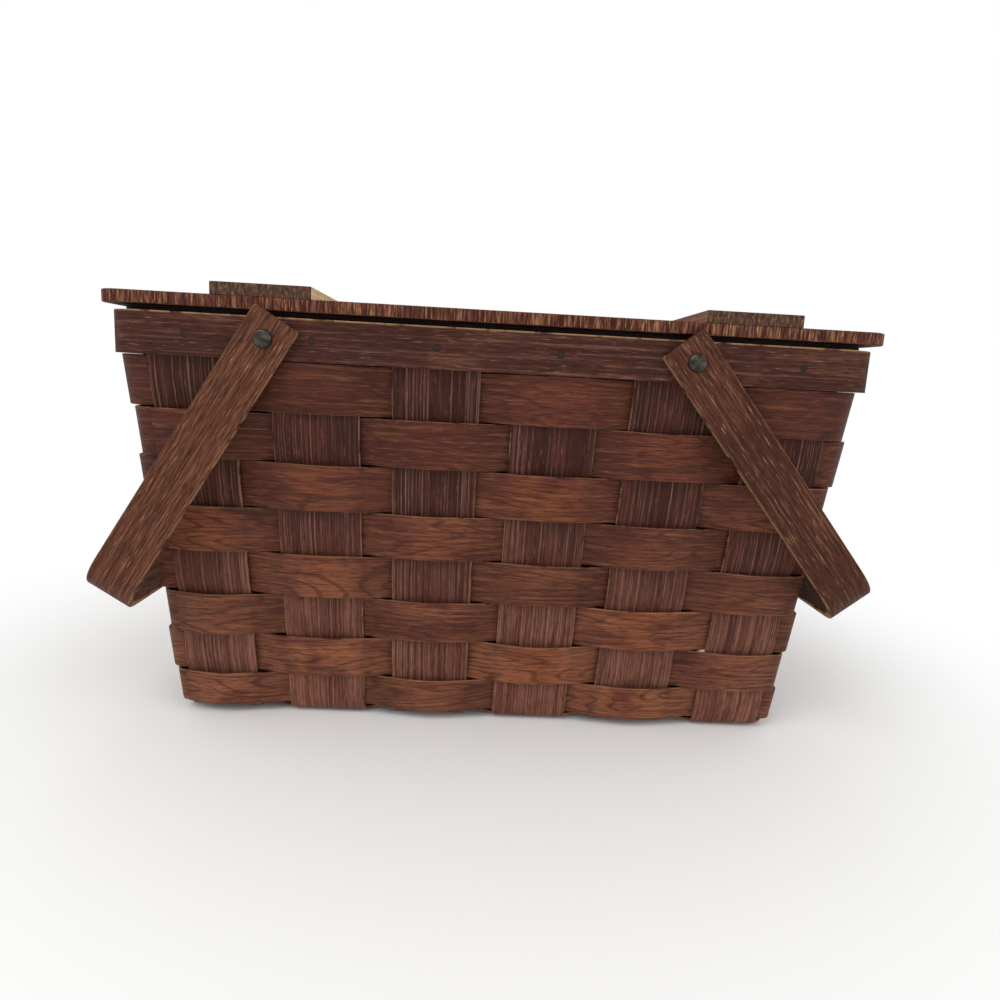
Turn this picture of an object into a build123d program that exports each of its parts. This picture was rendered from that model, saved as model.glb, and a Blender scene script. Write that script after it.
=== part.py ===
from build123d import *
import os
from math import asin, atan, cos, degrees, hypot, pi, radians, sin, tan

# A woven splint picnic basket: upright stakes bent up from the base, level weavers, two rim hoops, a
# hinged board lid with two battens, and two swinging handles. Millimetres, +Z up, front at -Y, with the
# origin in the middle of the base on the ground.

# Stakes
stake_thick = 1.6
stake_gap = 17.3  # between two stakes of the front wall
edge_stake_trim = 4.5  # the first and last stake of the front and back walls are this much narrower
cross_count = 6  # stakes that run from front to back
cross_margin = 7.5  # from the last of them to the end wall
long_count = 3  # stakes that run from end to end
long_margin = 6.75  # from the last of them to the front wall
long_fan = 6.5  # degrees that the outer end stakes spread as they rise
stake_bend = 2.4  # inside radius
base_gap = 0.2  # between a stake and the one it crosses in the base
foot_top = 9.0  # a bend ends below this height

# Walls, measured on the middle of the stakes
base_half_x = 188.0
base_half_y = 92.0
end_lean = 2.4  # degrees from upright
side_lean = 12.5
base_corner = 6.0  # corner radius at the ground
rim_corner = 15.0  # and at the rim

# Weavers
weaver_thick = 1.4
weaver_gap = 0.25  # between a weaver and a stake
row_count = 8
row_pitch = 27.1
row_gap = 0.7
lowest_edge = 7.0  # the bottom weaver is split narrower, to clear the bends
float_bulge = 0.8  # the middle of a float bows this far off its stake
edge_margin = 0.6  # a weaver starts to cross over this far past a stake's edge
corner_steps = 5

# Rim hoops
hoop_bottom = 219.1
hoop_height = 21.7
hoop_seat = 0.2  # between a hoop and the stakes
outer_hoop_thick = 3.8
inner_hoop_thick = 3.0
inner_hoop_rise = 2.9  # the inner hoop is this much taller, and the lid lies on it
stake_drop = 1.5  # stakes end this far below the top of the outer hoop
scarf_length = 40.0
scarf_gap = 0.3

# Lid
lid_seat = 0.3
lid_thick = 6.35
lid_overhang = 3.0  # past the rim at each end
lid_setback = 2.2  # short of the rim at the back, to miss the handle tips as it opens
lid_corner = 12.0
lid_round = 0.7
batten_width = 50.8
batten_thick = 6.35
batten_seat = 0.05
batten_left_inset = 83.5  # lid's end to the middle of the batten
batten_right_inset = 73.5
batten_round = 0.8

# Handles
pivot_left_inset = 83.0  # rim's end to the rivet
pivot_right_inset = 100.0
pivot_rise = 10.4  # rim's lower edge to the rivet
handle_width = 25.4
handle_thick = 4.0
handle_reach = 169.0  # pivot to the outer face of the grip
handle_tail = 12.5
handle_bend = 18.0  # inside radius
handle_gap = 0.6  # between an arm and the rim
rest_gap = 0.5  # between the grip and the end wall that it rests on
tail_round = 3.0

# Rivets and their washers
rivet_radius = 2.4
rivet_clearance = 0.1
rivet_head = 4.75
rivet_head_height = 2.0
rivet_head_round = 1.3
rivet_end = 0.8
head_seat = 0.1
washer_radius = 5.5
washer_thick = 1.0

# Rim tacks, batten nails and hinge screws, each with shank radius, length, head radius, head height and
# the height of the head's top above the wood
tack = (0.9, 7.5, 2.0, 0.8, -0.2)
nail = (0.9, 10.5, 2.2, 0.7, -0.1)
screw = (1.1, 4.6, 2.2, 0.7, 0.8)
hold_clearance = 0.05
pivot_keepout = 12.0  # no tack this close to a rivet
nail_rows = 4
nail_half_spread = 16.0
nail_end_inset = 20.0

# Hinges
hinge_half_spacing = 56.0
hinge_width = 25.4
leaf_thick = 1.0
leaf_seat = 0.05
barrel_radius = 2.8
hinge_pin = 1.0
pin_clearance = 0.08
knuckle_gap = 0.3
lid_leaf_length = 30.0
lid_screws = (18.0, 25.0)  # distances from the hinge line
rim_leaf_drop = 21.0  # hinge line to the leaf's lower edge
rim_screws = (8.0, 16.5)
screw_half_spread = 7.0

# Worked out from the sizes above
cross_pitch = (2 * (base_half_x - cross_margin) + edge_stake_trim + stake_gap) / cross_count
stake_width = cross_pitch - stake_gap
edge_stake_width = stake_width - edge_stake_trim
long_pitch = (base_half_y - long_margin - stake_width / 2) / ((long_count - 1) / 2)
end_slope = tan(radians(end_lean))
side_slope = tan(radians(side_lean))
weave = stake_thick / 2 + weaver_gap + weaver_thick / 2  # middle of a stake to middle of a weaver
floor_mid = stake_thick * 1.5 + base_gap  # height of the cross stakes in the base
floor_step = stake_thick + base_gap
rim_x = base_half_x + hoop_bottom * end_slope
rim_y = base_half_y + hoop_bottom * side_slope
hoop_offset = stake_thick / 2 + hoop_seat
outer_x = rim_x + hoop_offset + outer_hoop_thick
outer_y = rim_y + hoop_offset + outer_hoop_thick
inner_y = rim_y - hoop_offset - inner_hoop_thick
lid_half_x = outer_x + lid_overhang
batten_left_x = batten_left_inset - lid_half_x
batten_right_x = lid_half_x - batten_right_inset
pivot_left_x = pivot_left_inset - outer_x
pivot_right_x = outer_x - pivot_right_inset
pivot_z = hoop_bottom + pivot_rise
hoop_top = hoop_bottom + hoop_height
stake_top = hoop_top - stake_drop
lid_bottom = hoop_top + inner_hoop_rise + lid_seat
lid_top = lid_bottom + lid_thick
lid_back = outer_y - lid_setback
lid_depth = outer_y + lid_back
batten_top = lid_top + batten_seat + batten_thick
arm_inner = outer_y + handle_gap
arm_outer = arm_inner + handle_thick
hinge_y = outer_y + leaf_seat + barrel_radius
hinge_z = lid_bottom + leaf_thick - barrel_radius
knuckle = (hinge_width - 2 * knuckle_gap) / 3
rivet_bore = rivet_radius + hold_clearance
from_top = (Align.CENTER, Align.CENTER, Align.MAX)
from_bottom = (Align.CENTER, Align.CENTER, Align.MIN)
from_corner = (Align.CENTER, Align.MIN, Align.MIN)


def half_x(z):
    return base_half_x + min(z, hoop_bottom) * end_slope


def half_y(z):
    return base_half_y + min(z, hoop_bottom) * side_slope


def cross_x(i):
    return (i - (cross_count - 1) / 2) * cross_pitch


def cross_width(i):
    return edge_stake_width if i in (0, cross_count - 1) else stake_width


def long_y(k, z):
    """Middle of an end stake; the outer ones spread as they rise."""
    rise = max(min(z, hoop_bottom) - foot_top, 0)
    return (k - (long_count - 1) / 2) * (long_pitch + rise * tan(radians(long_fan)))


def save(part, name):
    part.part.label = name
    export_step(part.part, f"parts/{name}.step")


def ring_path(row, z):
    """The middle line of a weaver at one height, anticlockwise from the front left corner."""
    crosses = [(cross_x(i), cross_width(i) / 2) for i in range(cross_count)]
    longs = [(long_y(k, z), stake_width / 2) for k in range(long_count)]
    walls = [
        ((1, 0), (0, -1), half_x(z), half_y(z), crosses),
        ((0, 1), (1, 0), half_y(z), half_x(z), longs),
        ((-1, 0), (0, 1), half_x(z), half_y(z), crosses),
        ((0, -1), (-1, 0), half_y(z), half_x(z), longs),
    ]
    corner = base_corner + (rim_corner - base_corner) * z / hoop_bottom
    points = []
    met = 0
    for along, out, half_length, distance, stakes in walls:
        line = []
        for middle, half_width in stakes:
            side = 1 if (row + met) % 2 == 0 else -1
            reach = half_width + edge_margin
            line.append((middle - reach, distance + side * weave))
            line.append((middle, distance + side * (weave + float_bulge)))
            line.append((middle + reach, distance + side * weave))
            met += 1
        # The next wall's first stake is passed on the other side
        for step in range(corner_steps + 1):
            share = step / corner_steps
            radius = corner + side * weave * (1 - 2 * share)
            run = half_length - corner + radius * sin(share * pi / 2)
            rise = distance - corner + radius * cos(share * pi / 2)
            line.append((run, rise))
        points += [(along[0] * a + out[0] * b, along[1] * a + out[1] * b) for a, b in line]
    return points


def offset_loop(points, grow):
    """A closed anticlockwise line moved outwards by grow, with mitred corners."""
    moved = []
    for i, here in enumerate(points):
        normals = []
        for a, b in ((points[i - 1], here), (here, points[(i + 1) % len(points)])):
            length = hypot(b[0] - a[0], b[1] - a[1])
            normals.append(((b[1] - a[1]) / length, (a[0] - b[0]) / length))
        (ax, ay), (bx, by) = normals
        scale = grow / (1 + ax * bx + ay * by)
        moved.append((here[0] + scale * (ax + bx), here[1] + scale * (ay + by)))
    return moved


def bent_strip(below, above, inside, thick):
    """The side view of a strip from its two outlines, with its bends rounded."""
    with BuildLine() as outline:
        lower = FilletPolyline(*below, radius=inside + thick)
        upper = FilletPolyline(*above, radius=inside)
        Line(lower @ 0, upper @ 0)
        Line(lower @ 1, upper @ 1)
    make_face(outline.edges())


def stake_outlines(half, ends, waves):
    """Under and upper side of a stake's base, from one wall to the other, up to the foot height."""
    sides = []
    for shift in (-stake_thick / 2, stake_thick / 2):
        left, right = ends[0] + shift, ends[1] + shift
        line = [(shift - half(foot_top), foot_top), (shift - half(left), left)]
        line += [(u, z + shift) for u, z in waves]
        line += [(half(right) - shift, right), (half(foot_top) - shift, foot_top)]
        sides.append(line)
    return sides


def stake_wall(size, foot, shoulder):
    """The upright part of a stake: leaning up to the rim, then straight up between the hoops."""
    sections = []
    for place in (foot, shoulder, (shoulder[0], shoulder[1], stake_top)):
        with BuildSketch(Plane(place)) as section:
            Rectangle(*size)
        sections.append(section.sketch)
    loft(sections, ruled=True)


def facing(x, y, z, way):
    """A place whose local Z points out of the wood."""
    turns = {"front": (90, 0, 0), "back": (-90, 0, 0), "right": (0, 90, 0), "left": (0, -90, 0)}
    turns |= {"up": (0, 0, 0), "down": (180, 0, 0)}
    return Location((x, y, z), turns[way])


# Places of the rim tacks, one in each stake
tack_z = hoop_bottom + hoop_height / 2
tack_places = []
for i in range(cross_count):
    if min(abs(cross_x(i) - x) for x in (pivot_left_x, pivot_right_x)) > pivot_keepout:
        tack_places.append(facing(cross_x(i), -outer_y, tack_z, "front"))
        tack_places.append(facing(cross_x(i), outer_y, tack_z, "back"))
for k in range(long_count):
    tack_places.append(facing(outer_x, long_y(k, tack_z), tack_z, "right"))
    tack_places.append(facing(-outer_x, long_y(k, tack_z), tack_z, "left"))

# Places of the batten nails
nail_places = []
for x in (batten_left_x, batten_right_x):
    for row in range(nail_rows):
        y = nail_end_inset - outer_y + (lid_depth - 2 * nail_end_inset) * row / (nail_rows - 1)
        nail_places.append(facing(x - nail_half_spread, y, batten_top, "up"))
        nail_places.append(facing(x + nail_half_spread, y, batten_top, "up"))

# Places of the hinge screws
hinge_xs = (-hinge_half_spacing, hinge_half_spacing)
screw_xs = [x + side * screw_half_spread for x in hinge_xs for side in (-1, 1)]
rim_leaf_face = outer_y + leaf_seat + leaf_thick
rim_screw_places = [facing(x, rim_leaf_face, hinge_z - d, "back") for x in screw_xs for d in rim_screws]
lid_screw_places = [facing(x, hinge_y - d, lid_bottom, "down") for x in screw_xs for d in lid_screws]


def fasten(places, size):
    """A nail, tack or screw at every place."""
    shank, length, head, height, top = size
    with Locations(*places):
        with Locations((0, 0, top)):
            Cylinder(head, height, align=from_top)
            Cylinder(shank, length, align=from_top)


def fasten_holes(places, size):
    """The holes for those, open above the head."""
    shank, length, head, height, top = size
    with Locations(*places):
        with Locations((0, 0, top - height - hold_clearance)):
            Cylinder(head + hold_clearance, height + 1, align=from_bottom, mode=Mode.SUBTRACT)
        with Locations((0, 0, top)):
            Cylinder(shank + hold_clearance, length + hold_clearance, align=from_top, mode=Mode.SUBTRACT)


def drill_rim():
    """Rivet and tack holes through whatever the open part has in the rim."""
    with Locations(*[facing(x, 0, pivot_z, "back") for x in (pivot_left_x, pivot_right_x)]):
        Cylinder(rivet_bore, 2 * outer_y + 2, mode=Mode.SUBTRACT)
    fasten_holes(tack_places, tack)


print("pivots at", round(pivot_left_x, 4), round(pivot_right_x, 4), round(pivot_z, 4))
print("hinge line at", round(hinge_y, 4), round(hinge_z, 4))
os.makedirs("parts", exist_ok=True)

# Cross stakes, level in the base between the two layers of the long ones
for i in range(cross_count):
    x, width = cross_x(i), cross_width(i)
    with BuildPart() as cross_stake:
        with BuildSketch(Plane.YZ.offset(x)):
            bent_strip(*stake_outlines(half_y, (floor_mid, floor_mid), []), stake_bend, stake_thick)
        extrude(amount=width / 2, both=True)
        for end in (-1, 1):
            foot = (x, end * half_y(foot_top), foot_top)
            stake_wall((width, stake_thick), foot, (x, end * rim_y, hoop_bottom))
        drill_rim()
    save(cross_stake, f"cross_stake_{i + 1}")

# Long stakes, over and under the cross stakes by turns
for k in range(long_count):
    waves = []
    for i in range(cross_count):
        height = floor_mid + (floor_step if (i + k) % 2 == 0 else -floor_step)
        reach = cross_width(i) / 2 + edge_margin
        waves += [(cross_x(i) - reach, height), (cross_x(i) + reach, height)]
    ends = (waves[0][1], waves[-1][1])
    with BuildPart() as long_stake:
        with BuildSketch(Plane.XZ.offset(-long_y(k, 0))):
            bent_strip(*stake_outlines(half_x, ends, waves[1:-1]), stake_bend, stake_thick)
        extrude(amount=stake_width / 2, both=True)
        for end in (-1, 1):
            foot = (end * half_x(foot_top), long_y(k, 0), foot_top)
            shoulder = (end * rim_x, long_y(k, hoop_bottom), hoop_bottom)
            stake_wall((stake_thick, stake_width), foot, shoulder)
        drill_rim()
    save(long_stake, f"long_stake_{k + 1}")

# Weavers, the top row first
for row in range(1, row_count + 1):
    high = hoop_bottom - row_gap / 2 - (row - 1) * row_pitch
    low = max(high - row_pitch + row_gap, lowest_edge)
    with BuildPart() as weaver_row:
        for grow, mode in ((weaver_thick / 2, Mode.ADD), (-weaver_thick / 2, Mode.SUBTRACT)):
            for z in (low, high):
                with BuildSketch(Plane.XY.offset(z)):
                    with BuildLine():
                        Polyline(*offset_loop(ring_path(row, z), grow), close=True)
                    make_face()
            loft(ruled=True, mode=mode)
    save(weaver_row, f"weaver_row_{row}")


def hoop(near, far, height, scarf_y):
    """A band between two distances from the stakes, closed by a scarf joint."""
    with BuildSketch(Plane.XY.offset(hoop_bottom)) as band:
        RectangleRounded(2 * (rim_x + far), 2 * (rim_y + far), rim_corner + far)
        RectangleRounded(2 * (rim_x + near), 2 * (rim_y + near), rim_corner + near, mode=Mode.SUBTRACT)
    extrude(band.sketch, amount=height)
    tilt = degrees(atan((far - near) / scarf_length))
    with Locations(Location((0, scarf_y, hoop_bottom + height / 2), (0, 0, tilt))):
        Box(scarf_length * 1.2, scarf_gap, height + 1, mode=Mode.SUBTRACT)
    drill_rim()


with BuildPart() as outer_rim_band:
    hoop(hoop_offset, hoop_offset + outer_hoop_thick, hoop_height, outer_y - outer_hoop_thick / 2)
    fasten_holes(rim_screw_places, screw)
save(outer_rim_band, "outer_rim_band")

with BuildPart() as inner_rim_band:
    scarf_y = inner_y + inner_hoop_thick / 2
    hoop(-hoop_offset - inner_hoop_thick, -hoop_offset, hoop_height + inner_hoop_rise, scarf_y)
save(inner_rim_band, "inner_rim_band")

with BuildPart() as rim_tacks:
    fasten(tack_places, tack)
save(rim_tacks, "rim_tacks")

# Lid board, with pockets underneath for the hinge leaves
lid_y = lid_back - lid_depth / 2
with BuildPart() as lid_board:
    with BuildSketch(Plane.XY.offset(lid_bottom)):
        with Locations((0, lid_y)):
            RectangleRounded(2 * lid_half_x, lid_depth, lid_corner)
    extrude(amount=lid_thick)
    under, upper = lid_board.faces().filter_by(Axis.Z).sort_by(Axis.Z)
    fillet(under.edges() + upper.edges(), lid_round)
    pocket = (hinge_width + 2 * leaf_seat, lid_leaf_length, leaf_thick + leaf_seat + 1)
    with Locations(*[(x, hinge_y - lid_leaf_length - leaf_seat, lid_bottom - 1) for x in hinge_xs]):
        Box(*pocket, align=from_corner, mode=Mode.SUBTRACT)
    fasten_holes(nail_places, nail)
    fasten_holes(lid_screw_places, screw)
save(lid_board, "lid_board")

for name, x in (("batten_left", batten_left_x), ("batten_right", batten_right_x)):
    with BuildPart() as batten:
        with Locations((x, lid_y, lid_top + batten_seat)):
            Box(batten_width, lid_depth, batten_thick, align=from_bottom)
        fillet(batten.faces().sort_by(Axis.Z)[-1].edges(), batten_round)
        fasten_holes(nail_places, nail)
    save(batten, name)

with BuildPart() as batten_nails:
    fasten(nail_places, nail)
save(batten_nails, "batten_nails")

# Hinges: the rim leaf has the two outer knuckles and the lid leaf the middle one
for name, x in zip(("left", "right"), hinge_xs):
    axis = Location((x, hinge_y, hinge_z), (0, 90, 0))
    with BuildPart() as rim_leaf:
        low_y, low_z = outer_y + leaf_seat, hinge_z - rim_leaf_drop
        with Locations((x, low_y, low_z)):
            Box(hinge_width, leaf_thick, rim_leaf_drop - barrel_radius - knuckle_gap, align=from_corner)
        for place in (x - knuckle - knuckle_gap, x + knuckle + knuckle_gap):
            with Locations((place, low_y, low_z)):
                Box(knuckle, leaf_thick, rim_leaf_drop, align=from_corner)
            with Locations(Location((place, hinge_y, hinge_z), (0, 90, 0))):
                Cylinder(barrel_radius, knuckle)
        with Locations(axis):
            Cylinder(hinge_pin + pin_clearance, 2 * hinge_width, mode=Mode.SUBTRACT)
        fasten_holes(rim_screw_places, screw)
    save(rim_leaf, f"hinge_{name}_rim_leaf")

    with BuildPart() as lid_leaf:
        with Locations((x, hinge_y - lid_leaf_length, lid_bottom)):
            Box(hinge_width, lid_leaf_length - barrel_radius - knuckle_gap, leaf_thick, align=from_corner)
            Box(knuckle, lid_leaf_length, leaf_thick, align=from_corner)
        with Locations(axis):
            Cylinder(barrel_radius, knuckle)
            Cylinder(hinge_pin + pin_clearance, 2 * hinge_width, mode=Mode.SUBTRACT)
        fasten_holes(lid_screw_places, screw)
    save(lid_leaf, f"hinge_{name}_lid_leaf")

    with BuildPart() as pin:
        with Locations(axis):
            Cylinder(hinge_pin, hinge_width + 1)
    save(pin, f"hinge_{name}_pin")

with BuildPart() as rim_hinge_screws:
    fasten(rim_screw_places, screw)
save(rim_hinge_screws, "rim_hinge_screws")

with BuildPart() as lid_hinge_screws:
    fasten(lid_screw_places, screw)
save(lid_hinge_screws, "lid_hinge_screws")


def rest_angle(pivot_x):
    """Degrees from straight down at which the grip's inner edge lies on the end wall."""
    grip_inner = handle_reach - handle_thick
    wall = base_half_x + weave + weaver_thick / 2 + float_bulge + pivot_z * end_slope
    gap = wall + rest_gap - abs(pivot_x)
    corner = degrees(asin(gap * cos(radians(end_lean)) / hypot(grip_inner, handle_width / 2)))
    return corner - end_lean + degrees(atan(handle_width / 2 / grip_inner))


# Handles: a flat strip bent to a U, swinging on the rivets
for name, x, out in (("left", pivot_left_x, -1), ("right", pivot_right_x, 1)):
    hang = radians(rest_angle(x))
    print(name, "handle hangs at", round(degrees(hang), 3))
    with BuildPart() as handle:
        with BuildSketch(Plane((x, 0, pivot_z), x_dir=(0, 1, 0), z_dir=(-cos(hang), 0, -out * sin(hang)))):
            outlines = []
            for y, grip in ((arm_outer, handle_reach), (arm_inner, handle_reach - handle_thick)):
                outlines.append([(-y, -handle_tail), (-y, grip), (y, grip), (y, -handle_tail)])
            bent_strip(*outlines, handle_bend, handle_thick)
        extrude(amount=handle_width / 2, both=True)
        tips = handle.edges().filter_by(Axis.Y).filter_by(lambda edge: edge.length < 2 * handle_thick)
        fillet(tips, tail_round)
        with Locations(facing(x, 0, pivot_z, "back")):
            Cylinder(rivet_radius + rivet_clearance, 2 * arm_outer + 2, mode=Mode.SUBTRACT)
    save(handle, f"handle_{name}")

# Rivets, with a washer on the inside of the rim
rivet_length = rivet_head_height + head_seat + arm_outer - inner_y + head_seat + washer_thick + rivet_end
rivet = (rivet_radius, rivet_length, rivet_head, rivet_head_height, rivet_head_height + head_seat)
washer_places = []
for wall, y in (("front", -arm_outer), ("back", arm_outer)):
    for name, x in (("left", pivot_left_x), ("right", pivot_right_x)):
        place = facing(x, y, pivot_z, wall)
        washer_places.append(place * Location((0, 0, inner_y - arm_outer - head_seat)))
        with BuildPart() as handle_rivet:
            fasten([place], rivet)
            crown = handle_rivet.faces().filter_by(Axis.Y).sort_by(Axis.Y)[0 if wall == "front" else -1]
            fillet(crown.edges(), rivet_head_round)
        save(handle_rivet, f"rivet_{wall}_{name}")

with BuildPart() as rivet_washers:
    with Locations(*washer_places):
        Cylinder(washer_radius, washer_thick, align=from_top)
        Cylinder(rivet_bore, 4 * washer_thick, mode=Mode.SUBTRACT)
save(rivet_washers, "rivet_washers")
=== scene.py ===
import bpy
import bmesh
import random
from math import sin, cos, tan, pi, radians, hypot
from mathutils import Matrix, Vector, noise


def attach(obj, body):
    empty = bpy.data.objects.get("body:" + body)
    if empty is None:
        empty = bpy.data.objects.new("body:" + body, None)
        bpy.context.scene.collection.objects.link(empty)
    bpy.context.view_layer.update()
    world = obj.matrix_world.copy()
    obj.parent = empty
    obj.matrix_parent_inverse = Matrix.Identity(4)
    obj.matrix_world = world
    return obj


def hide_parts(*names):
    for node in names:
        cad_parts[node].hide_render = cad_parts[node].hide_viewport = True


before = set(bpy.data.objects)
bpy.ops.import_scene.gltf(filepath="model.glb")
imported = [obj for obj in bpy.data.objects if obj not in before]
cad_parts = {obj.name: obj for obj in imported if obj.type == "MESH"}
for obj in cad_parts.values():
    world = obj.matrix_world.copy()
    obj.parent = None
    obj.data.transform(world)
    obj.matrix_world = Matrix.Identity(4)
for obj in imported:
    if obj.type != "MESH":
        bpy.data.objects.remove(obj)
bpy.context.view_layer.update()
random.seed(7)
mm = 0.001  # sizes are in mm where no comment says metres, and meshes are in metres
print("frame loaded")


def toLinear(hexColour):
    values = [int(hexColour[i:i + 2], 16) / 255 for i in (1, 3, 5)]
    return [v / 12.92 if v <= 0.04045 else ((v + 0.055) / 1.055) ** 2.4 for v in values] + [1.0]


def addNode(tree, kind, inputs=None, out=0, **settings):
    # one node with its settings and links; gives back one of its outputs
    node = tree.nodes.new(kind)
    for key, value in settings.items():
        setattr(node, key, value)
    for key, value in (inputs or {}).items():
        if isinstance(value, bpy.types.NodeSocket):
            tree.links.new(value, node.inputs[key])
        else:
            node.inputs[key].default_value = value
    return node.outputs[out] if len(node.outputs) else node


def newMaterial(name, settings):
    material = bpy.data.materials.new(name)
    material.use_nodes = True
    tree = material.node_tree
    tree.nodes.clear()
    surface = addNode(tree, "ShaderNodeBsdfPrincipled", settings)
    addNode(tree, "ShaderNodeOutputMaterial", {"Surface": surface})
    return material, tree, surface.node


def useMaterial(obj, material):
    obj.data.materials.clear()
    obj.data.materials.append(material)


# angles in degrees from which an edge looks sharp, or is rounded on a strip or a block
edges = {"sharpAngle": 35, "stripAngle": 50, "blockAngle": 40}


def finishPiece(bm, name, body, nodes, materials):
    mesh = bpy.data.meshes.new(name)
    bm.to_mesh(mesh)
    bm.free()
    mesh.shade_smooth()
    mesh.set_sharp_from_angle(angle=radians(edges["sharpAngle"]))
    for material in materials:
        mesh.materials.append(material)
    obj = bpy.data.objects.new(name, mesh)
    bpy.context.scene.collection.objects.link(obj)
    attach(obj, body)
    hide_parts(*nodes)
    return obj


def softenEdges(obj, rounding, angle, segments=2):
    edge = obj.modifiers.new("softEdge", "BEVEL")
    edge.width = rounding * mm
    edge.segments = segments
    edge.limit_method = "ANGLE"
    edge.angle_limit = radians(angle)
    return edge


def addThickness(obj, look, segments=2):
    shell = obj.modifiers.new("thickness", "SOLIDIFY")
    shell.thickness = look["thick"] * mm
    shell.offset = 0  # half on each side of the strip's middle
    softenEdges(obj, look["rounding"], edges["stripAngle"], segments)


def runLengths(points):
    # distance along a line of flat points, up to each of them
    lengths = [0.0]
    for a, b in zip(points, points[1:]):
        lengths.append(lengths[-1] + hypot(b[0] - a[0], b[1] - a[1]))
    return lengths


def strip(stations, levels, place, tones, shift, closed=False):
    # a grid bent into a strip: stations run along the grain and levels across it, both in mm;
    # shift moves the grain pattern, so that no two splints show the same one
    bm = bmesh.new()
    grain = bm.loops.layers.uv.new("grain")
    tone = bm.verts.layers.float.new("tone")
    wear = bm.verts.layers.float.new("wear")
    bmesh.ops.create_grid(bm, x_segments=len(stations) - 1, y_segments=len(levels) - 1, size=1)
    spots = {}
    for vert in bm.verts:
        i = round((vert.co.x + 1) / 2 * (len(stations) - 1))
        j = round((vert.co.y + 1) / 2 * (len(levels) - 1))
        spots[vert] = (i, j)
    for face in bm.faces:
        for loop in face.loops:
            i, j = spots[loop.vert]
            loop[grain].uv = (stations[i] * mm + shift, levels[j] * mm + shift)
    for vert, (i, j) in spots.items():
        vert.co = Vector(place(i, j)) * mm
        vert[tone] = tones[i]
        vert[wear] = 1.0 if j in (0, len(levels) - 1) else 0.0
    if closed:
        bmesh.ops.remove_doubles(bm, verts=bm.verts, dist=0.02 * mm)
    return bm


def woodMaterial(name, look):
    material, tree, shader = newMaterial(name, {"Specular IOR Level": look["sheen"]})
    uv = addNode(tree, "ShaderNodeUVMap", uv_map="grain")
    place = addNode(tree, "ShaderNodeTexCoord", out="Object")
    height = addNode(tree, "ShaderNodeSeparateXYZ", {0: place}, out=2)
    tone = addNode(tree, "ShaderNodeAttribute", out="Fac", attribute_name="tone")
    wear = addNode(tree, "ShaderNodeAttribute", out="Fac", attribute_name="wear")
    patterns = {  # length along the grain and width across it in mm, detail, distortion
        "figure": (look["figureLength"], look["figureWidth"], 1.0, 0.25),
        "streak": (look["streakLength"], look["streakWidth"], 4.0, 0.0),
        "fibre": (9, 0.8, 2.0, 0.0),  # real pores are 0.3 wide, drawn as coarse as they need to show
        "blotch": (50, 32, 3.0, 0.4),
        "chip": (14, 40, 4.0, 0.0)}
    field = {}
    for key, (along, across, detail, distortion) in patterns.items():
        scaled = addNode(tree, "ShaderNodeMapping", {"Vector": uv, "Scale": (1000 / along, 1000 / across, 1)})
        field[key] = addNode(tree, "ShaderNodeTexNoise", {
            "Vector": scaled, "Scale": 1.0, "Detail": detail, "Roughness": 0.6, "Distortion": distortion})
    growth = addNode(tree, "ShaderNodeMath", {0: field["figure"], 1: look["rings"]}, operation="MULTIPLY")
    growth = addNode(tree, "ShaderNodeMath", {0: growth, 1: 1.0}, operation="PINGPONG")
    bands = {  # source, where the mark starts and where it is full
        "dark": (field["streak"], 0.56, 0.36), "light": (field["streak"], 0.5, 0.68),
        "line": (growth, 0.35, 0.1), "fibre": (field["fibre"], 0.5, 0.36), "pale": (field["fibre"], 0.6, 0.74),
        "blotch": (field["blotch"], 0.5, 0.64), "shade": (tone, 0.75, 0.0), "warm": (tone, 0.6, 1.0),
        # low is painted light: the wood painted paler towards the base, below paintedLightTop
        "low": (height, look["paintedLightTop"], 0.0), "wearAndHighlight": (wear, look["wornFrom"], 0.95),
        # top pales the wood above topFrom, as rubbed wear and as a painted highlight
        "chip": (field["chip"], 0.38, 0.52), "top": (height, look["topFrom"], look["topFrom"] + 0.0012)}
    mask = {}
    for key, (source, start, full) in bands.items():
        mask[key] = addNode(tree, "ShaderNodeMapRange", {"Value": source, "From Min": start, "From Max": full},
                            interpolation_type="SMOOTHSTEP")
    # the rubbed edges and the pale top, part rubbed wear and part painted highlight, break up into chips
    rubbedAndLit = addNode(tree, "ShaderNodeMath", {0: mask["wearAndHighlight"], 1: mask["top"]}, operation="MAXIMUM")
    mask["wearAndHighlight"] = addNode(tree, "ShaderNodeMath", {0: rubbedAndLit, 1: mask["chip"]}, operation="MULTIPLY")
    colour = toLinear(look["mid"])
    for key, hexColour, amount in look["layers"]:  # each mark is laid over the ones before it
        factor = addNode(tree, "ShaderNodeMath", {0: mask[key], 1: amount}, operation="MULTIPLY")
        colour = addNode(tree, "ShaderNodeMix", {0: factor, 6: colour, 7: toLinear(hexColour)},
                         out=2, data_type="RGBA")
    tree.links.new(colour, shader.inputs["Base Color"])
    gloss = addNode(tree, "ShaderNodeMapRange", {
        "Value": field["blotch"], "To Min": look["rough"] - look["roughSpread"],
        "To Max": look["rough"] + look["roughSpread"]})
    tree.links.new(gloss, shader.inputs["Roughness"])
    # the pores are sunk, and the streaks stand up a little
    relief = addNode(tree, "ShaderNodeMath", {0: mask["fibre"], 1: -look["poreDepth"]}, operation="MULTIPLY")
    relief = addNode(tree, "ShaderNodeMath", {0: relief, 1: field["streak"]}, operation="ADD")
    bump = addNode(tree, "ShaderNodeBump", {"Height": relief, "Strength": look["bump"],
                                             "Distance": look["bumpDepth"] * mm})
    tree.links.new(bump, shader.inputs["Normal"])
    return material


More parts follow.
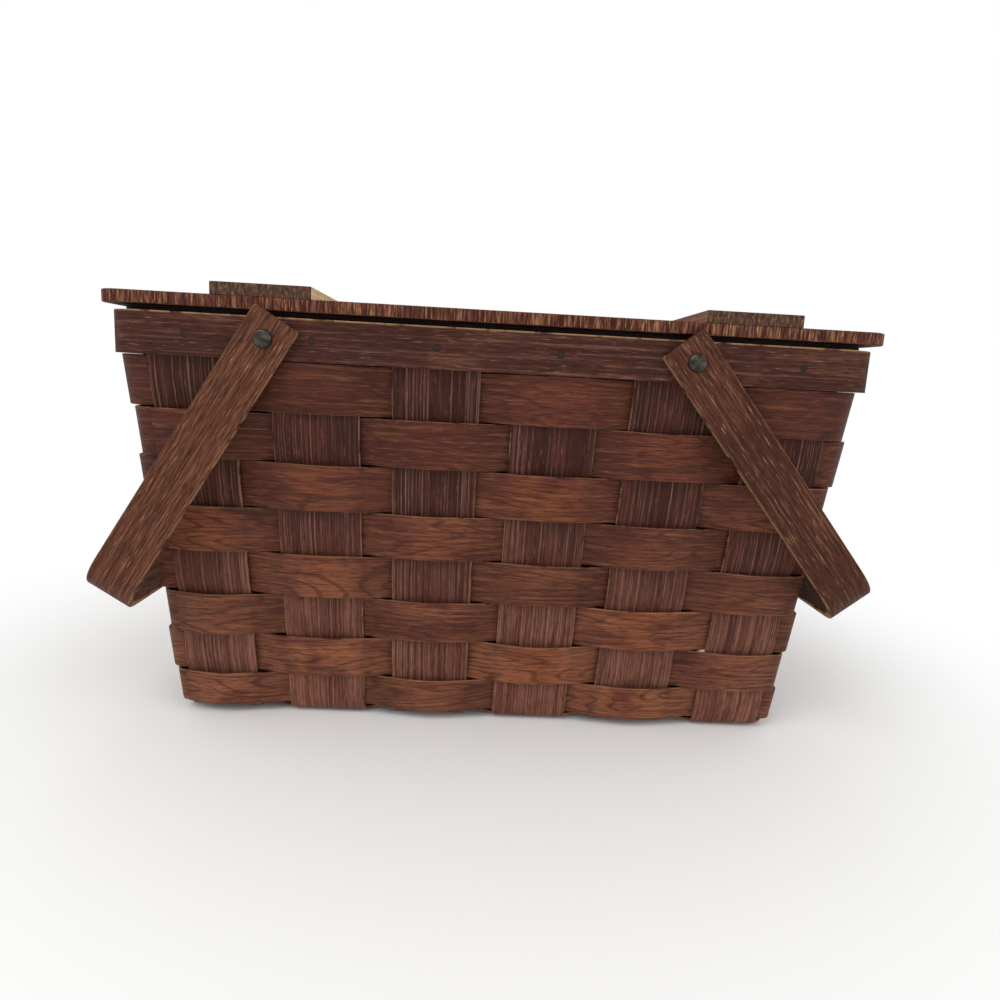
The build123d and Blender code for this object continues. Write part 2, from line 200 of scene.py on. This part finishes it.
# grain lengths and widths are in mm, and heights above the base in metres: the splints are painted paler
# from paintedLightTop down as painted light, and above topFrom, which is out of reach where nothing is,
# the wood is paled as rubbed wear and a painted highlight
plainWood = {"figureLength": 500, "figureWidth": 12, "rings": 14, "streakLength": 120, "streakWidth": 1.6,
             "sheen": 0.14, "rough": 0.62, "roughSpread": 0.12, "bump": 0.5, "bumpDepth": 0.5, "poreDepth": 0.6,
             "paintedLightTop": 0.2, "wornFrom": 0.4, "topFrom": 9.0}

# flat-sawn ash splint, stained and shellacked long ago: arched dark growth lines on orange-brown, low sheen
weaverWood = woodMaterial("stainedAshWeaver", {
    **plainWood, "mid": "#5f2f1f", "figureLength": 150, "figureWidth": 20, "rings": 26,
    "streakLength": 60, "streakWidth": 2.0, "rough": 0.55, "sheen": 0.18,
    # the low layer is painted light: the lower rows painted paler
    "layers": [("low", "#965d42", 0.9), ("warm", "#844624", 0.6), ("blotch", "#4f2320", 0.6),
               ("shade", "#361610", 0.75), ("dark", "#40190f", 0.35), ("light", "#9c6540", 0.25),
               ("line", "#31140e", 0.5), ("fibre", "#32150e", 0.55), ("pale", "#a26d4a", 0.3),
               ("wearAndHighlight", "#b08a62", 0.25)]})
# quarter-sawn ash splint: straight coarse pale streaks over a purple-brown stain
stakeWood = woodMaterial("stainedAshStake", {
    **plainWood, "mid": "#3d1d16", "streakLength": 300, "streakWidth": 1.3, "paintedLightTop": 0.18,
    # the low layer is painted light: the stakes painted paler towards the base
    "layers": [("low", "#8e5c4b", 0.95), ("shade", "#301510", 0.5), ("dark", "#2f1610", 0.6),
               ("light", "#95695a", 0.6), ("line", "#2f1510", 0.45), ("blotch", "#5a2e24", 0.4),
               ("fibre", "#2d140d", 0.4), ("pale", "#a07767", 0.3), ("wearAndHighlight", "#a98662", 0.35)]})
# bent rim strip: darker stain, short open pores, pale along the top: partly rubbed wear, partly a painted
# highlight on the top edge
rimLook = {**plainWood, "mid": "#44231b", "streakLength": 90, "streakWidth": 1.8, "rough": 0.66,
           "topFrom": 0.2396,
           "layers": [("blotch", "#66402f", 0.6), ("shade", "#38201a", 0.5), ("dark", "#361b14", 0.65),
                      ("light", "#7c5343", 0.45), ("line", "#2f1510", 0.4), ("fibre", "#2b130e", 0.65),
                      ("pale", "#9a7260", 0.45), ("wearAndHighlight", "#b28c62", 0.7)]}
rimWood = woodMaterial("stainedRimStrip", rimLook)
# the inner hoop is painted near black: painted shade for the gap in the shade of the lid
innerShadeWood = woodMaterial("paintedShadeInnerStrip", {
    **rimLook, "mid": "#1f120f",
    "layers": [("dark", "#160c0a", 0.5), ("light", "#38241e", 0.3), ("fibre", "#140a08", 0.4)]})
# handle strip: dark stain, fine lengthwise pores, pale scratches and rubbed edges
handleWood = woodMaterial("stainedHandleStrip", {
    **plainWood, "mid": "#4f2a1b", "streakLength": 70, "streakWidth": 1.4, "wornFrom": 0.6,
    "layers": [("warm", "#704530", 0.9), ("shade", "#3c1f15", 0.6), ("blotch", "#69402d", 0.4),
               ("dark", "#381b12", 0.6), ("light", "#835842", 0.45), ("line", "#2f130b", 0.35),
               ("fibre", "#2c140d", 0.7), ("pale", "#a57d62", 0.6), ("wearAndHighlight", "#a88460", 0.6)]})
# lid board: stained, rough-sawn, weathered where the light reaches it
boardWood = woodMaterial("weatheredBoard", {
    **plainWood, "mid": "#59392a", "figureLength": 300, "figureWidth": 30, "rings": 20, "rough": 0.72,
    "layers": [("blotch", "#4c4130", 0.6), ("dark", "#46301f", 0.5), ("light", "#846546", 0.45),
               ("line", "#3a261b", 0.45), ("fibre", "#38261b", 0.45), ("pale", "#a08361", 0.3)]})
# its sawn edge: upright saw marks in tan over dark red-brown
sawnLook = {**plainWood, "mid": "#5f342a", "streakLength": 12, "streakWidth": 1.3, "rough": 0.75, "bump": 0.8,
            "layers": [("blotch", "#7a4e33", 0.7), ("dark", "#33160f", 0.85), ("light", "#9a6f4c", 0.75),
                       ("fibre", "#2f130f", 0.6), ("pale", "#c0966a", 0.6)]}
sawnEdge = woodMaterial("sawnBoardEdge", sawnLook)
# end grain of the battens: browner and speckled
endGrain = woodMaterial("battenEndGrain", {
    **sawnLook, "mid": "#563c2f", "streakLength": 3, "streakWidth": 1.6,
    "layers": [("blotch", "#4c4032", 0.6), ("dark", "#38241d", 0.7), ("light", "#8a6a50", 0.6),
               ("fibre", "#33211a", 0.6)]})
# split side of the left batten: pale tan, partly bare wood and partly painted light, as this side gets only
# fill light
litPaleSide = woodMaterial("litPaleBattenSide", {
    **plainWood, "mid": "#e9cb98", "rough": 0.75,
    "layers": [("dark", "#c39c6a", 0.5), ("light", "#f2dcb4", 0.5), ("fibre", "#ad8350", 0.3)]})
# split side of the right batten: bare wood with a thin red-brown stain
redSide = woodMaterial("redSplitSide", {
    **plainWood, "mid": "#8f6450", "rough": 0.75,
    "layers": [("dark", "#744a3a", 0.5), ("light", "#ab8265", 0.5), ("fibre", "#653f30", 0.3)]})


def metalMaterial(name, look):
    material, tree, shader = newMaterial(name, {"Metallic": look["metallic"]})
    place = addNode(tree, "ShaderNodeTexCoord", out="Object")
    grit = addNode(tree, "ShaderNodeTexNoise", {"Vector": place, "Scale": 1000 / look["grit"], "Detail": 4.0})
    stain = addNode(tree, "ShaderNodeTexNoise", {"Vector": place, "Scale": 1000 / look["stain"], "Detail": 3.0})
    share = addNode(tree, "ShaderNodeMapRange", {"Value": stain, "From Min": look["stainFrom"],
                                                 "From Max": look["stainTo"]})
    colour = addNode(tree, "ShaderNodeMix", {0: share, 6: toLinear(look["dark"]), 7: toLinear(look["light"])},
                     out=2, data_type="RGBA")
    tree.links.new(colour, shader.inputs["Base Color"])
    gloss = addNode(tree, "ShaderNodeMapRange", {"Value": grit, "To Min": look["rough"] - look["smoother"],
                                                 "To Max": look["rough"] + look["rougher"]})
    tree.links.new(gloss, shader.inputs["Roughness"])
    bump = addNode(tree, "ShaderNodeBump", {"Height": grit, "Strength": look["bump"],
                                            "Distance": look["bumpDepth"] * mm})
    tree.links.new(bump, shader.inputs["Normal"])
    return material


# grit and stain are the sizes of the marks in mm
plainMetal = {"stainFrom": 0.35, "stainTo": 0.65, "smoother": 0.1, "rougher": 0.15, "bump": 0.35,
              "bumpDepth": 0.2}
# brass rivet, long tarnished: dark grey-bronze with a dull rubbed crown
rivetMetal = metalMaterial("tarnishedBrass", {
    **plainMetal, "dark": "#2f2c27", "light": "#575146", "grit": 0.6, "stain": 3.0, "metallic": 0.85,
    "rough": 0.36})
# black iron hinges and screws, brown with rust in patches
blackIron = metalMaterial("rustyIron", {
    **plainMetal, "dark": "#241f1c", "light": "#4c3a2e", "grit": 0.5, "stain": 2.5, "metallic": 0.55,
    "rough": 0.6})
# sunk tacks: rusted red-brown and painted near black like the dents round them, a painted shade for those
# dents, so they take no metal shine
tackIron = metalMaterial("rustAndShadeTack", {
    **plainMetal, "dark": "#140906", "light": "#2c1610", "grit": 0.6, "stain": 2.0, "metallic": 0.0,
    "rough": 0.85})
print("materials made")

# the walls' sizes, as in the CAD model (mm and degrees); walls 0 to 3 are front, right, back and left
walls = {"halfLength": 188.0, "halfDepth": 92.0, "endLean": 2.4, "sideLean": 12.5, "footCorner": 6.0,
         "rimCorner": 15.0, "rimBottom": 219.1, "stakePitch": 63.8, "stakeWidth": 46.5, "edgeStakeWidth": 42.0,
         "endPitch": 62.0, "endFan": 6.5, "footTop": 9.0, "margin": 0.6, "weave": 1.75,
         "stakesOn": (6, 3, 6, 3), "stakesBefore": (0, 6, 9, 15)}


def halfX(z):
    return walls["halfLength"] + min(z, walls["rimBottom"]) * tan(radians(walls["endLean"]))


def halfY(z):
    return walls["halfDepth"] + min(z, walls["rimBottom"]) * tan(radians(walls["sideLean"]))


def crossWidth(i):
    # the first and last of the six cross stakes are narrower
    return walls["edgeStakeWidth"] if i in (0, 5) else walls["stakeWidth"]


def crossPlace(i):
    return (i - 2.5) * walls["stakePitch"]


def wallStakes(wall, z):
    # middle and half width of each stake on a wall, in the order the weaver meets them
    if wall % 2 == 0:
        return [(crossPlace(i), crossWidth(i) / 2) for i in range(6)]
    rise = max(min(z, walls["rimBottom"]) - walls["footTop"], 0)
    spread = walls["endPitch"] + rise * tan(radians(walls["endFan"]))
    return [((k - 1) * spread, walls["stakeWidth"] / 2) for k in range(3)]


def weaverSide(row, wall, j):
    # 1 where the weaver passes outside the stake, -1 where it passes inside
    return 1 if (row + walls["stakesBefore"][wall] + j) % 2 == 0 else -1


def turned(wall, run, out):
    # a point given along and out from a wall, turned to where that wall stands
    return [(run, -out), (out, run), (-run, out), (-out, -run)][wall]


# bows are how far a float stands off its stake; the waves make the splints' edges ragged, each with its
# share, its waves per mm, and seeds for the row and for the lower and the upper edge
weaver = {"rows": 8, "pitch": 27.1, "gap": 0.7, "lowest": 7.0, "thick": 1.4, "rounding": 0.35,
          "frontBow": 3.4, "topRowBow": 1.5, "endBow": 0.7, "innerBow": 1.2, "bowSpread": (0.8, 1.1),
          "crown": 0.25, "ragged": 0.5, "endRowsRagged": 0.6,
          "waves": ((1.0, 0.025, 7.3, (0.0, 1.0)), (0.3, 0.11, 3.1, (5.0, 2.0))),
          # endShade is painted shade: how much darker a float is painted towards its ends
          "rimClearance": 0.15, "tints": (0.35, 0.95), "endShade": 0.5, "grainShift": 0.37,
          "floatSteps": (-1, -0.88, -0.66, -0.33, 0, 0.33, 0.66, 0.88, 1), "gapSteps": (0.2, 0.4, 0.6, 0.8),
          "cornerSteps": 7, "shares": (0, 0.03, 0.2, 0.5, 0.8, 0.97, 1)}


def rowEdges(row):
    high = walls["rimBottom"] - weaver["gap"] / 2 - (row - 1) * weaver["pitch"]
    return max(high - weaver["pitch"] + weaver["gap"], weaver["lowest"]), high


# one turn round the basket: wall, what is passed there, its number on that wall, and how far along it
ringStops = []
for wall, count in enumerate(walls["stakesOn"]):
    ringStops.append((wall, "lead", 0, 0.5))
    for j in range(count):
        ringStops += [(wall, "stake", j, s) for s in weaver["floatSteps"]]
        if j < count - 1:
            ringStops += [(wall, "gap", j, s) for s in weaver["gapSteps"]]
    ringStops.append((wall, "trail", count - 1, 0.5))
    ringStops += [(wall, "corner", count - 1, step / weaver["cornerSteps"])
                  for step in range(weaver["cornerSteps"] + 1)]
ringStops.append(ringStops[0])


def ringPoint(row, stop, z, bows):
    wall, kind, j, s = stop
    stakes = wallStakes(wall, z)
    length, away = (halfX(z), halfY(z)) if wall % 2 == 0 else (halfY(z), halfX(z))
    corner = walls["footCorner"] + (walls["rimCorner"] - walls["footCorner"]) * z / walls["rimBottom"]
    side = weaverSide(row, wall, j)
    weave = walls["weave"]
    middle, half = stakes[j][0], stakes[j][1] + walls["margin"]
    if kind == "stake":
        return turned(wall, middle + s * half, away + side * (weave + bows[(wall, j)] * cos(s * pi / 2)))
    if kind == "gap":
        after, afterHalf = stakes[j + 1][0], stakes[j + 1][1] + walls["margin"]
        run = (middle + half) * (1 - s) + (after - afterHalf) * s
        return turned(wall, run, away + side * weave * cos(pi * s))
    if kind == "lead":
        return turned(wall, (corner - length + middle - half) / 2, away + side * weave)
    if kind == "trail":
        return turned(wall, (length - corner + middle + half) / 2, away + side * weave)
    radius = corner + side * weave * cos(pi * s)
    return turned(wall, length - corner + radius * sin(s * pi / 2), away - corner + radius * cos(s * pi / 2))


def floatBow(row, wall, j):
    if weaverSide(row, wall, j) < 0:
        return weaver["innerBow"]
    if wall % 2:
        return weaver["endBow"]
    return weaver["topRowBow"] if row == 1 else weaver["frontBow"]


def stopTone(row, stop, tints):
    # each float keeps one tint as far as it shows, and painted shade darkens it where it dives under
    wall, kind, j, s = stop
    ahead = (wall, j + 1) if j + 1 < walls["stakesOn"][wall] else ((wall + 1) % 4, 0)
    leaving = kind in ("gap", "trail", "corner") and weaverSide(row, wall, j) < 0
    ends = abs(s) ** 3 if kind == "stake" else 1.0
    return tints[ahead if leaving else (wall, j)] * (1 - weaver["endShade"] * ends)


for row in range(1, weaver["rows"] + 1):
    low, high = rowEdges(row)
    bows, tints = {}, {}
    for wall, count in enumerate(walls["stakesOn"]):
        for j in range(count):
            spread = random.uniform(*weaver["bowSpread"]) if wall % 2 == 0 else 1
            bows[(wall, j)] = floatBow(row, wall, j) * spread
            tints[(wall, j)] = random.uniform(*weaver["tints"])
    shares = weaver["shares"]
    levels = [low + (high - low) * t for t in shares]
    stations = runLengths([ringPoint(row, stop, (low + high) / 2, bows) for stop in ringStops])
    ragged = weaver["ragged"] * (weaver["endRowsRagged"] if row in (1, weaver["rows"]) else 1)

    def placeWeaver(i, j):
        stop, t = ringStops[i], shares[j]
        along = 0.0 if i == len(ringStops) - 1 else stations[i]  # the ring ends where it starts
        wobble = 0.0
        for share, wave, rowSeed, edgeSeeds in weaver["waves"]:
            wobble += share * noise.noise(Vector((along * wave, row * rowSeed, edgeSeeds[t > 0.5])))
        z = min(levels[j] + wobble * ragged * abs(2 * t - 1), walls["rimBottom"] - weaver["rimClearance"])
        x, y = ringPoint(row, stop, levels[j], bows)
        side = weaverSide(row, stop[0], stop[2]) if stop[1] == "stake" else 0
        dx, dy = turned(stop[0], 0, weaver["crown"] * (1 - (2 * t - 1) ** 2) * side)
        return x + dx, y + dy, z

    tones = [stopTone(row, stop, tints) for stop in ringStops]
    bm = strip(stations, levels, placeWeaver, tones, row * weaver["grainShift"], closed=True)
    piece = finishPiece(bm, f"weaverRow{row}", "basket", [f"weaver_row_{row}"], [weaverWood])
    addThickness(piece, weaver)
print("weavers made")

# floor is the height of a cross stake's middle in the base, and floorStep how far a long one weaves off it
stake = {"thick": 1.6, "rounding": 0.35, "outBow": 1.2, "inBow": 0.4, "top": 239.3, "rimMiddle": 230.0,
         "floor": 2.6, "floorStep": 1.8, "footGap": 0.5, "bendReach": 5.5, "bendSteps": 7, "rowSteps": 7,
         "cup": 0.25, "tints": (0.25, 0.9), "grainShift": 0.53, "longGrainShift": 5.1,
         "shares": (-1, -0.93, -0.5, 0, 0.5, 0.93, 1),
         "crossFloorStops": (-60, -30, 0, 30, 60), "longFloorStops": (-0.98, 0, 0.98)}


def stakeBow(wall, j, z):
    # the stake bows out over a weaver that passes behind it, and in behind one in front
    for row in range(1, weaver["rows"] + 1):
        low, high = rowEdges(row)
        if low <= z <= high:
            swell = sin(pi * (z - low) / (high - low))
            return -stake["inBow"] * swell if weaverSide(row, wall, j) > 0 else stake["outBow"] * swell
    return 0.0


def wallHeights():
    heights = [stake["top"], stake["rimMiddle"], walls["rimBottom"]]
    for row in range(1, weaver["rows"] + 1):
        low, high = rowEdges(row)
        heights += [high - (high - low) * step / stake["rowSteps"] for step in range(stake["rowSteps"] + 1)]
    return [z for z in heights if z > walls["footTop"] + stake["footGap"]] + [walls["footTop"]]


def footBend(half, floor):
    # a quarter turn from the wall's foot to the base
    top, knee = (half(walls["footTop"]), walls["footTop"]), (half(floor), floor)
    end = (half(floor) - stake["bendReach"], floor)
    points = []
    for step in range(1, stake["bendSteps"] + 1):
        t = step / stake["bendSteps"]
        points.append(tuple((1 - t) ** 2 * a + 2 * t * (1 - t) * b + t * t * c
                            for a, b, c in zip(top, knee, end)))
    return points


def longFloor(i, number):
    # a long stake passes over and under the cross stakes in turn
    return stake["floor"] + stake["floorStep"] * (1 if (i + number) % 2 == 0 else -1)


def makeStake(name, node, number, long):
    half = halfX if long else halfY
    width = walls["stakeWidth"] if long else crossWidth(number)
    firstWall, lastWall = (3, 1) if long else (0, 2)

    def side(wall, sign):
        j = number if wall in (0, 1) else walls["stakesOn"][wall] - 1 - number
        floor = longFloor(0 if sign < 0 else 5, number) if long else stake["floor"]
        up = [(sign * (half(z) + stakeBow(wall, j, z)), z, True) for z in wallHeights()]
        return up + [(sign * d, z, False) for d, z in footBend(half, floor)]

    if long:
        base = [(crossPlace(i) + s * (crossWidth(i) / 2 + walls["margin"]), longFloor(i, number), False)
                for i in range(6) for s in stake["longFloorStops"]]
    else:
        base = [(d, stake["floor"], False) for d in stake["crossFloorStops"]]
    # along the whole stake: distance from the middle, height, and whether it is on a wall
    lineUp = side(firstWall, -1) + base + side(lastWall, 1)[::-1]
    shares = stake["shares"]
    levels = [s * width / 2 for s in shares]

    def placeStake(i, j):
        run, z, onWall = lineUp[i]
        cup = stake["cup"] * shares[j] ** 2 if onWall else 0
        run -= cup * (1 if run > 0 else -1)
        if long:
            return run, wallStakes(1, z)[number][0] + levels[j], z
        return crossPlace(number) + levels[j], run, z

    tones = [random.uniform(*stake["tints"])] * len(lineUp)
    shift = number * stake["grainShift"] + (stake["longGrainShift"] if long else 0.0)
    bm = strip(runLengths(lineUp), levels, placeStake, tones, shift)
    piece = finishPiece(bm, name, "basket", [node], [stakeWood])
    addThickness(piece, stake)


for i in range(6):
    makeStake(f"crossStake{i + 1}", f"cross_stake_{i + 1}", i, False)
for k in range(3):
    makeStake(f"longStake{k + 1}", f"long_stake_{k + 1}", k, True)
print("stakes made")

# merge is in mm and flatAngle in degrees; tone is the depth of the stain, as on the splints
cadCopy = {"merge": 0.002, "flatAngle": 0.6, "tone": 0.6}


def dressCad(node, name, body, materials, grainOf, finishOf=None):
    # the CAD piece itself, merged, with the grain laid along it
    bm = bmesh.new()
    bm.from_mesh(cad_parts[node].data)
    bmesh.ops.remove_doubles(bm, verts=bm.verts, dist=cadCopy["merge"] * mm)
    bmesh.ops.dissolve_limit(bm, angle_limit=radians(cadCopy["flatAngle"]), verts=bm.verts, edges=bm.edges)
    grain = bm.loops.layers.uv.new("grain")
    tone = bm.verts.layers.float.new("tone")
    bm.verts.layers.float.new("wear")
    for vert in bm.verts:
        vert[tone] = cadCopy["tone"]
    for face in bm.faces:
        face.material_index = finishOf(face) if finishOf else 0
        for loop in face.loops:
            loop[grain].uv = grainOf(loop.vert.co, face)
    return finishPiece(bm, name, body, [node], materials)


def hoopGrain(co, face):
    if abs(face.normal.z) < 0.7:
        alongX = abs(face.normal.y) > abs(face.normal.x)
        return (co.x if alongX else co.y, co.z)
    # on the narrow top and bottom, the front and back runs lie beyond longRuns
    alongX = abs(face.calc_center_median().y) > hoop["longRuns"] * mm
    return (co.x if alongX else co.y, co.z + (co.y if abs(face.normal.y) > 0.2 else co.x))


hoop = {"outerRounding": 0.8, "innerRounding": 0.5, "longRuns": 135}
for node, name, wood, rounding in (("outer_rim_band", "outerHoop", rimWood, hoop["outerRounding"]),
                                   ("inner_rim_band", "innerHoop", innerShadeWood, hoop["innerRounding"])):
    piece = dressCad(node, name, "basket", [wood], hoopGrain)
    softenEdges(piece, rounding, edges["blockAngle"]).harden_normals = True


def boardGrain(co, face):
    if abs(face.normal.z) > 0.7:
        return (co.x, co.y)
    # the saw marks run upright round the edge
    return (co.z, co.x) if abs(face.normal.y) > abs(face.normal.x) else (co.z, co.y)


def battenGrain(co, face):
    if abs(face.normal.z) > 0.7:
        return (co.y, co.x)
    return (co.z, co.x) if abs(face.normal.y) > 0.7 else (co.y, co.z)


def battenFinish(face, middleSide):
    # the top is weathered, the ends show end grain, and the side towards the middle is bare wood, on the left
    # batten painted paler with painted light
    if face.normal.x * middleSide > 0.9:
        return 2
    return 1 if abs(face.normal.y) > 0.7 else 0


dressCad("lid_board", "lidBoard", "lid", [boardWood, sawnEdge], boardGrain,
         lambda face: 0 if abs(face.normal.z) > 0.9 else 1)
dressCad("batten_left", "battenLeft", "lid", [boardWood, endGrain, litPaleSide], battenGrain,
         lambda face: battenFinish(face, 1))
dressCad("batten_right", "battenRight", "lid", [boardWood, endGrain, redSide], battenGrain,
         lambda face: battenFinish(face, -1))
print("hoops and lid made")

# tail is how far an arm goes on past its rivet, hang its angle from straight down, and out the way it leans
handle = {"width": 25.4, "thick": 4.0, "reach": 169.0, "tail": 12.5, "bend": 20.0, "armY": 147.973,
          "pivotZ": 229.5, "rounding": 0.45, "edgeSegments": 3, "tipRound": 1.4,
          "tailStops": (12.5, 12.1, 11.4, 10.5, 9.5, 0.0), "armSteps": 12, "bendSteps": 10,
          "gripStops": (-100, -70, -35), "grainShift": 0.03,
          "shares": (-1, -0.95, -0.5, 0, 0.5, 0.95, 1),
          "left": {"pivotX": -118.983, "hang": 31.829, "out": -1, "tone": 0.82},
          "right": {"pivotX": 101.983, "hang": 38.874, "out": 1, "tone": 0.45}}


def handleLine():
    # along the arm and across the basket: down the front arm, along the grip and up the back arm
    reach = handle["reach"] - handle["thick"] / 2
    straight = reach - handle["bend"]
    half = [(-d, -handle["armY"]) for d in handle["tailStops"]]
    half += [(straight * step / handle["armSteps"], -handle["armY"]) for step in range(1, handle["armSteps"])]
    for step in range(handle["bendSteps"] + 1):
        a = step / handle["bendSteps"] * pi / 2
        half.append((straight + handle["bend"] * sin(a), -handle["armY"] + handle["bend"] * (1 - cos(a))))
    half += [(reach, y) for y in handle["gripStops"]]
    return half + [(reach, 0.0)] + [(d, -y) for d, y in half[::-1]]


def makeHandle(side):
    look = handle[side]
    hang = radians(look["hang"])
    arm = Vector((look["out"] * sin(hang), 0, -cos(hang)))
    across = Vector((-arm.z, 0, arm.x))
    pivot = Vector((look["pivotX"], 0, handle["pivotZ"]))
    line = handleLine()
    levels = [s * handle["width"] / 2 for s in handle["shares"]]

    def placeHandle(i, j):
        d, y = line[i]
        inset = max(handle["tipRound"] - (d + handle["tail"]), 0.0)  # how far into the rounded tip
        trim = handle["tipRound"] - (handle["tipRound"] ** 2 - inset ** 2) ** 0.5
        spread = levels[j] * (1 - trim / (handle["width"] / 2))
        return pivot + arm * d + across * spread + Vector((0, y, 0))

    tones = [look["tone"]] * len(line)
    bm = strip(runLengths(line), levels, placeHandle, tones, look["pivotX"] * handle["grainShift"])
    piece = finishPiece(bm, f"handle{side.title()}", f"handle_{side}", [f"handle_{side}"],
                        [handleWood])
    addThickness(piece, handle, handle["edgeSegments"])


makeHandle("left")
makeHandle("right")
print("handles made")

# metal pieces keep their CAD shape
for name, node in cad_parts.items():
    if name.startswith("rivet"):
        useMaterial(node, rivetMetal)
    elif name in ("rim_tacks", "batten_nails"):
        useMaterial(node, tackIron)
    elif name.startswith("hinge") or name.endswith("screws"):
        useMaterial(node, blackIron)

# metres and watts; the floor turns plain white between fadeFrom and fadeTo from the basket's middle
studio = {"floorSize": 6, "floorColour": "#fbfbfa", "floorRough": 0.95, "fadeFrom": 0.25, "fadeTo": 0.5,
          "worldLevel": 0.8, "aim": (0, 0, 0.12),
          "key": {"power": 9.0, "size": 0.9, "spot": (-0.7, -1.1, 1.3)},
          "fill": {"power": 3.0, "size": 1.2, "spot": (1.1, -0.8, 0.7)}}

bm = bmesh.new()
bmesh.ops.create_grid(bm, x_segments=1, y_segments=1, size=studio["floorSize"])
floorMesh = bpy.data.meshes.new("floor")
bm.to_mesh(floorMesh)
bm.free()
floor = bpy.data.objects.new("floor", floorMesh)
bpy.context.scene.collection.objects.link(floor)
# white paper sweep: matt, and plain white away from the basket's shadow
paper, tree, shader = newMaterial("paperFloor", {
    "Base Color": toLinear(studio["floorColour"]), "Roughness": studio["floorRough"]})
place = addNode(tree, "ShaderNodeTexCoord", out="Object")
distance = addNode(tree, "ShaderNodeVectorMath", {0: place}, out="Value", operation="LENGTH")
fade = addNode(tree, "ShaderNodeMapRange", {"Value": distance, "From Min": studio["fadeFrom"],
                                            "From Max": studio["fadeTo"]}, interpolation_type="SMOOTHSTEP")
rays = addNode(tree, "ShaderNodeLightPath").node
seen = addNode(tree, "ShaderNodeMath", {0: rays.outputs["Is Camera Ray"], 1: rays.outputs["Is Glossy Ray"]},
               operation="MAXIMUM")
share = addNode(tree, "ShaderNodeMath", {0: fade, 1: seen}, operation="MULTIPLY")
white = addNode(tree, "ShaderNodeEmission", {"Strength": 1.0})
blend = addNode(tree, "ShaderNodeMixShader", {0: share, 1: shader.outputs[0], 2: white})
tree.links.new(blend, tree.nodes["Material Output"].inputs["Surface"])
useMaterial(floor, paper)

world = bpy.data.worlds.new("studio")
bpy.context.scene.world = world
world.use_nodes = True
tree = world.node_tree
tree.nodes.clear()
rays = addNode(tree, "ShaderNodeLightPath", out="Is Camera Ray")
soft = addNode(tree, "ShaderNodeBackground", {"Color": (1, 1, 1, 1), "Strength": studio["worldLevel"]})
plain = addNode(tree, "ShaderNodeBackground", {"Color": (1, 1, 1, 1), "Strength": 1.0})
blend = addNode(tree, "ShaderNodeMixShader", {0: rays, 1: soft, 2: plain})
addNode(tree, "ShaderNodeOutputWorld", {"Surface": blend})

for name in ("key", "fill"):
    look = studio[name]
    lamp = bpy.data.lights.new(name, "AREA")
    lamp.energy = look["power"]
    lamp.size = look["size"]
    obj = bpy.data.objects.new(name, lamp)
    obj.location = look["spot"]
    obj.rotation_euler = (Vector(studio["aim"]) - Vector(look["spot"])).to_track_quat("-Z", "Y").to_euler()
    bpy.context.scene.collection.objects.link(obj)

# the photograph's view, in mm from the basket's origin and in degrees
view = {"spot": (-8.9, -513.3, 216.3), "yaw": 2.11, "pitch": 9.84, "roll": 3.12, "lens": 25.2, "sensor": 36,
        "nearest": 10}
lens = bpy.data.cameras.new("camera")
lens.sensor_width = view["sensor"]
lens.sensor_fit = "HORIZONTAL"
lens.lens = view["lens"]
lens.clip_start = view["nearest"] * mm
camera = bpy.data.objects.new("camera", lens)
bpy.context.scene.collection.objects.link(camera)
camera.matrix_world = (Matrix.Translation(Vector(view["spot"]) * mm)
                       @ Matrix.Rotation(radians(-view["yaw"]), 4, "Z")
                       @ Matrix.Rotation(radians(90 - view["pitch"]), 4, "X")
                       @ Matrix.Rotation(radians(view["roll"]), 4, "Z"))
bpy.context.scene.camera = camera
bpy.context.scene.view_settings.view_transform = "Standard"
print("studio and camera ready")
